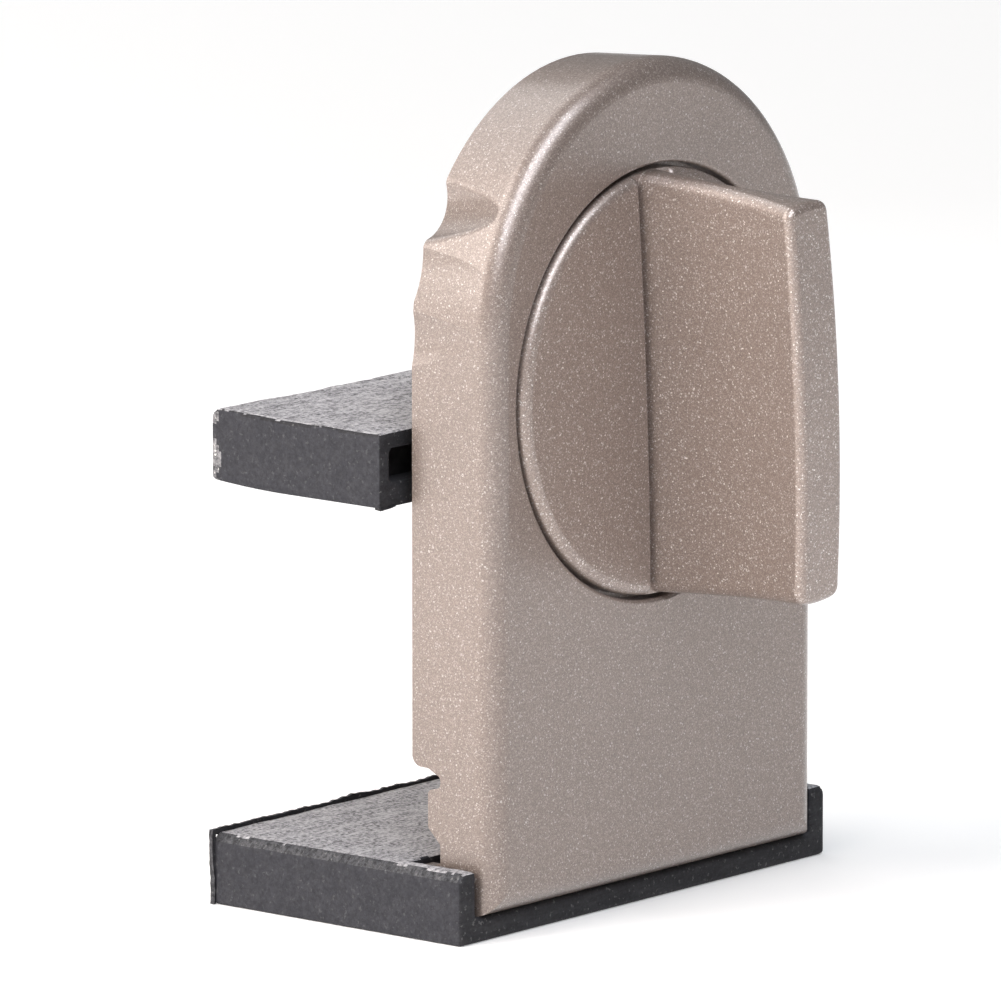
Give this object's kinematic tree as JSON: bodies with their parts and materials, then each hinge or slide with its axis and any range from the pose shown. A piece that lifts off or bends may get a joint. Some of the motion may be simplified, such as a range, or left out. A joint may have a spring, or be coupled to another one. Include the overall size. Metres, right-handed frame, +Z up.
{
  "type": "sliding window lock",
  "caption": "Clamp-on sliding window lock: an arched metal housing whose grip knob turns a spiral cam that draws a rubber-shod upper jaw down towards a rubber-shod foot.",
  "frame": {"origin": "underside of the lower pad, on the plane of symmetry, under the housing's flat rear face", "axes": "+Z up along the housing, -Y towards the knob, +Y along the jaws, +X to the right seen from the front"},
  "size_m": [0.0402, 0.0378, 0.0592],
  "materials": {
    "champagne_paint": "satin",
    "black_rubber": "matte",
    "zinc_plate": "satin",
    "black_zinc": "satin",
    "screw_steel": "satin",
    "bush_brass": "satin",
    "washer_nylon": "matte"
  },
  "bodies": {
    "body": {"housing": "champagne_paint", "spindle_bush": "bush_brass", "back_plate": "zinc_plate", "plate_screw_1": "screw_steel", "plate_screw_2": "screw_steel", "plate_screw_3": "screw_steel", "plate_screw_4": "screw_steel", "lower_pad": "black_rubber"},
    "knob": {"knob": "champagne_paint", "friction_washer": "washer_nylon", "spiral_cam": "zinc_plate", "lock_washer": "screw_steel", "knob_screw": "screw_steel"},
    "jaw": {"jaw_slider": "zinc_plate", "follower_pin": "screw_steel", "jaw_plate": "black_zinc", "jaw_rivet_left": "screw_steel", "jaw_rivet_right": "screw_steel", "upper_pad": "black_rubber"}
  },
  "joints": [
    {"name": "knob_turn", "type": "hinge", "parent": "body", "child": "knob", "pos_m": [0, -0.0072, 0.03675], "axis": [0, 1, 0], "range_deg": [0, 450]},
    {"name": "jaw_slide", "type": "slide", "parent": "body", "child": "jaw", "axis": [0, 0, -1], "range_m": [0, 0.0075]}
  ],
  "couplings": [
    {"joint": "jaw_slide", "follows": "knob_turn", "m_per_rad": 0.00095493}
  ]
}
